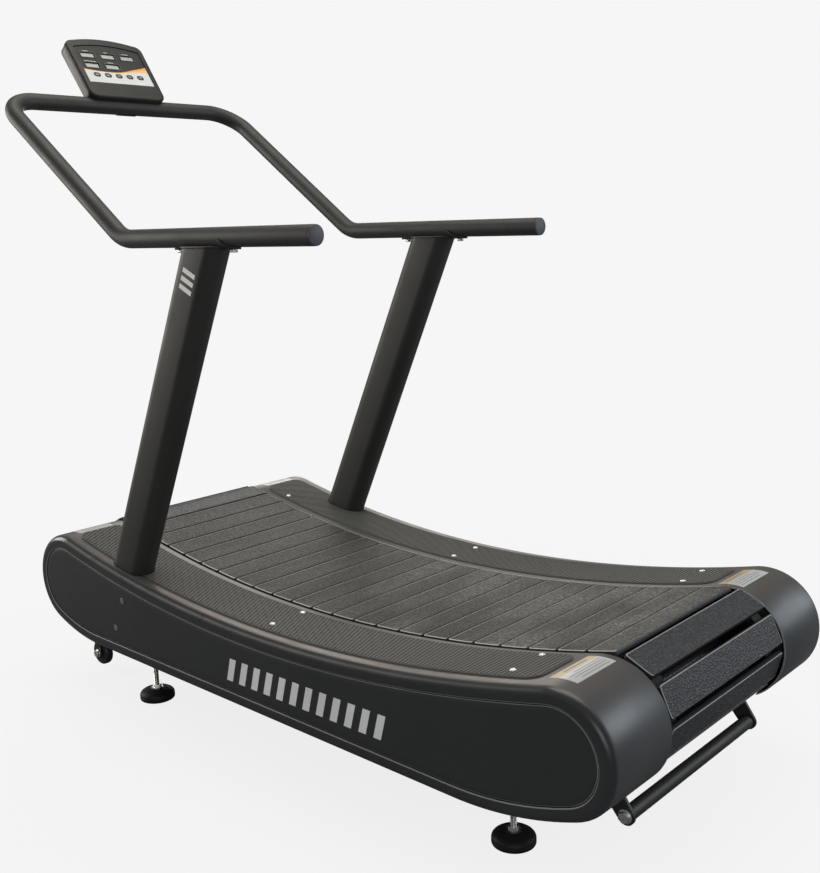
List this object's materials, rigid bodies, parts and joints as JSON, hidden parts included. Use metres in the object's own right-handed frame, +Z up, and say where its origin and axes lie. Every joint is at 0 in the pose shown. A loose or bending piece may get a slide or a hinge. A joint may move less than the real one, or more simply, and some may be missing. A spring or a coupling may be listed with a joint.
{
  "type": "curved manual treadmill",
  "caption": "Free-standing curved manual treadmill: slatted rubber belt round toothed drums, moulded side covers, leaning uprights, bent handrail loop and a display console.",
  "frame": {"origin": "on the floor, under the middle of the overall bounding box", "axes": "+X from the rear drum towards the console (the way the runner faces), +Y to the runner's left, +Z up; the floor is Z = 0 and the levelling feet rest on it"},
  "size_m": [1.8462, 0.792, 1.599],
  "materials": {
    "frame_black": "satin",
    "tube_black": "matte",
    "bearing_steel": "satin",
    "shaft_steel": "satin",
    "fixing_steel": "polished",
    "cast_grey": "matte",
    "sensor_plastic": "matte",
    "cover_shell": "satin",
    "panel_dark": "matte",
    "plug_grey": "matte",
    "mat_rubber": "matte",
    "cap_grey": "matte",
    "console_shell": "satin",
    "overlay_print": "satin",
    "display_lens": "gloss",
    "board_green": "satin",
    "slat_rubber": "matte",
    "belt_black": "matte",
    "pulley_dark": "satin",
    "roller_coat": "matte",
    "button_black": "matte",
    "wheel_plastic": "matte",
    "foot_rubber": "matte"
  },
  "bodies": {
    "base": {"left_frame_plate": "frame_black", "right_frame_plate": "frame_black", "cross_members": "frame_black", "guide_rails": "frame_black", "guide_bearings": "bearing_steel", "bearing_housings": "cast_grey", "drum_bearings": "bearing_steel", "one_way_clutch": "cast_grey", "speed_sensor": "sensor_plastic", "left_cover": "cover_shell", "right_cover": "cover_shell", "left_side_panel": "panel_dark", "right_side_panel": "panel_dark", "panel_plugs": "plug_grey", "left_foot_mat": "mat_rubber", "right_foot_mat": "mat_rubber", "mat_screws": "fixing_steel", "left_upright": "tube_black", "right_upright": "tube_black", "upright_sockets": "cast_grey", "handrail": "tube_black", "handrail_end_caps": "cap_grey", "saddle_bolts": "fixing_steel", "console_front_shell": "console_shell", "console_rear_shell": "console_shell", "console_overlay": "overlay_print", "display_windows": "display_lens", "console_board": "board_green", "console_clamp": "frame_black", "rear_handle_bar": "tube_black", "rear_handle_arms": "frame_black", "rear_handle_bolts": "fixing_steel", "wheel_brackets": "frame_black", "wheel_axles": "fixing_steel"},
    "upper_run": {"upper_slats": "slat_rubber", "upper_belts": "belt_black"},
    "front_drum": {"front_axle": "shaft_steel", "front_pulleys": "pulley_dark", "sensor_disc": "bearing_steel", "front_slats": "slat_rubber", "front_belts": "belt_black"},
    "rear_drum": {"rear_axle": "shaft_steel", "rear_pulleys": "pulley_dark", "rear_slats": "slat_rubber", "rear_belts": "belt_black"},
    "lower_run": {"lower_slats": "slat_rubber", "lower_belts": "belt_black"},
    "roller_front": {"lower_roller_front": "roller_coat"},
    "roller_rear": {"lower_roller_rear": "roller_coat"},
    "wheel_left": {"left_wheel": "wheel_plastic"},
    "wheel_right": {"right_wheel": "wheel_plastic"},
    "key_1": {"button_1": "button_black"},
    "key_2": {"button_2": "button_black"},
    "key_3": {"button_3": "button_black"},
    "key_4": {"button_4": "button_black"},
    "key_5": {"button_5": "button_black"},
    "front_left_foot": {"front_left_foot": "foot_rubber"},
    "front_right_foot": {"front_right_foot": "foot_rubber"},
    "rear_left_foot": {"rear_left_foot": "foot_rubber"},
    "rear_right_foot": {"rear_right_foot": "foot_rubber"}
  },
  "joints": [
    {"name": "belt_run", "type": "hinge", "parent": "base", "child": "upper_run", "pos_m": [-0.0913, 0, 3.295], "axis": [0, 1, 0], "range_deg": [-1.18, 0.04]},
    {"name": "front_drum_spin", "type": "hinge", "parent": "base", "child": "front_drum", "pos_m": [0.62754, 0, 0.2749], "axis": [0, 1, 0], "range_deg": [-1.25, 38.75]},
    {"name": "rear_drum_spin", "type": "hinge", "parent": "base", "child": "rear_drum", "pos_m": [-0.81014, 0, 0.2749], "axis": [0, 1, 0], "range_deg": [-1.25, 38.75]},
    {"name": "lower_run_slide", "type": "slide", "parent": "base", "child": "lower_run", "axis": [1, 0, 0], "range_m": [-0.062, 0.002]},
    {"name": "front_roller_spin", "type": "hinge", "parent": "base", "child": "roller_front", "pos_m": [0.2087, 0, 0.14962], "axis": [0, 1, 0], "range_deg": [-197.4, 6.4]},
    {"name": "rear_roller_spin", "type": "hinge", "parent": "base", "child": "roller_rear", "pos_m": [-0.3913, 0, 0.14962], "axis": [0, 1, 0], "range_deg": [-197.4, 6.4]},
    {"name": "left_wheel_spin", "type": "hinge", "parent": "base", "child": "wheel_left", "pos_m": [0.6587, 0.288, 0.044], "axis": [0, 1, 0], "continuous": true},
    {"name": "right_wheel_spin", "type": "hinge", "parent": "base", "child": "wheel_right", "pos_m": [0.6587, -0.288, 0.044], "axis": [0, 1, 0], "continuous": true},
    {"name": "key_1_press", "type": "slide", "parent": "base", "child": "key_1", "axis": [0.809, 0, -0.5878], "range_m": [0, 0.0012], "stiffness_N_per_m": 800},
    {"name": "key_2_press", "type": "slide", "parent": "base", "child": "key_2", "axis": [0.809, 0, -0.5878], "range_m": [0, 0.0012], "stiffness_N_per_m": 800},
    {"name": "key_3_press", "type": "slide", "parent": "base", "child": "key_3", "axis": [0.809, 0, -0.5878], "range_m": [0, 0.0012], "stiffness_N_per_m": 800},
    {"name": "key_4_press", "type": "slide", "parent": "base", "child": "key_4", "axis": [0.809, 0, -0.5878], "range_m": [0, 0.0012], "stiffness_N_per_m": 800},
    {"name": "key_5_press", "type": "slide", "parent": "base", "child": "key_5", "axis": [0.809, 0, -0.5878], "range_m": [0, 0.0012], "stiffness_N_per_m": 800},
    {"name": "front_left_foot_level", "type": "slide", "parent": "base", "child": "front_left_foot", "axis": [0, 0, 1], "range_m": [-0.015, 0]},
    {"name": "front_right_foot_level", "type": "slide", "parent": "base", "child": "front_right_foot", "axis": [0, 0, 1], "range_m": [-0.015, 0]},
    {"name": "rear_left_foot_level", "type": "slide", "parent": "base", "child": "rear_left_foot", "axis": [0, 0, 1], "range_m": [-0.015, 0]},
    {"name": "rear_right_foot_level", "type": "slide", "parent": "base", "child": "rear_right_foot", "axis": [0, 0, 1], "range_m": [-0.015, 0]}
  ],
  "couplings": [
    {"joint": "front_drum_spin", "follows": "belt_run", "ratio": -32.864},
    {"joint": "rear_drum_spin", "follows": "belt_run", "ratio": -32.864},
    {"joint": "lower_run_slide", "follows": "belt_run", "m_per_rad": 3.0128},
    {"joint": "front_roller_spin", "follows": "belt_run", "ratio": 167.38},
    {"joint": "rear_roller_spin", "follows": "belt_run", "ratio": 167.38}
  ]
}
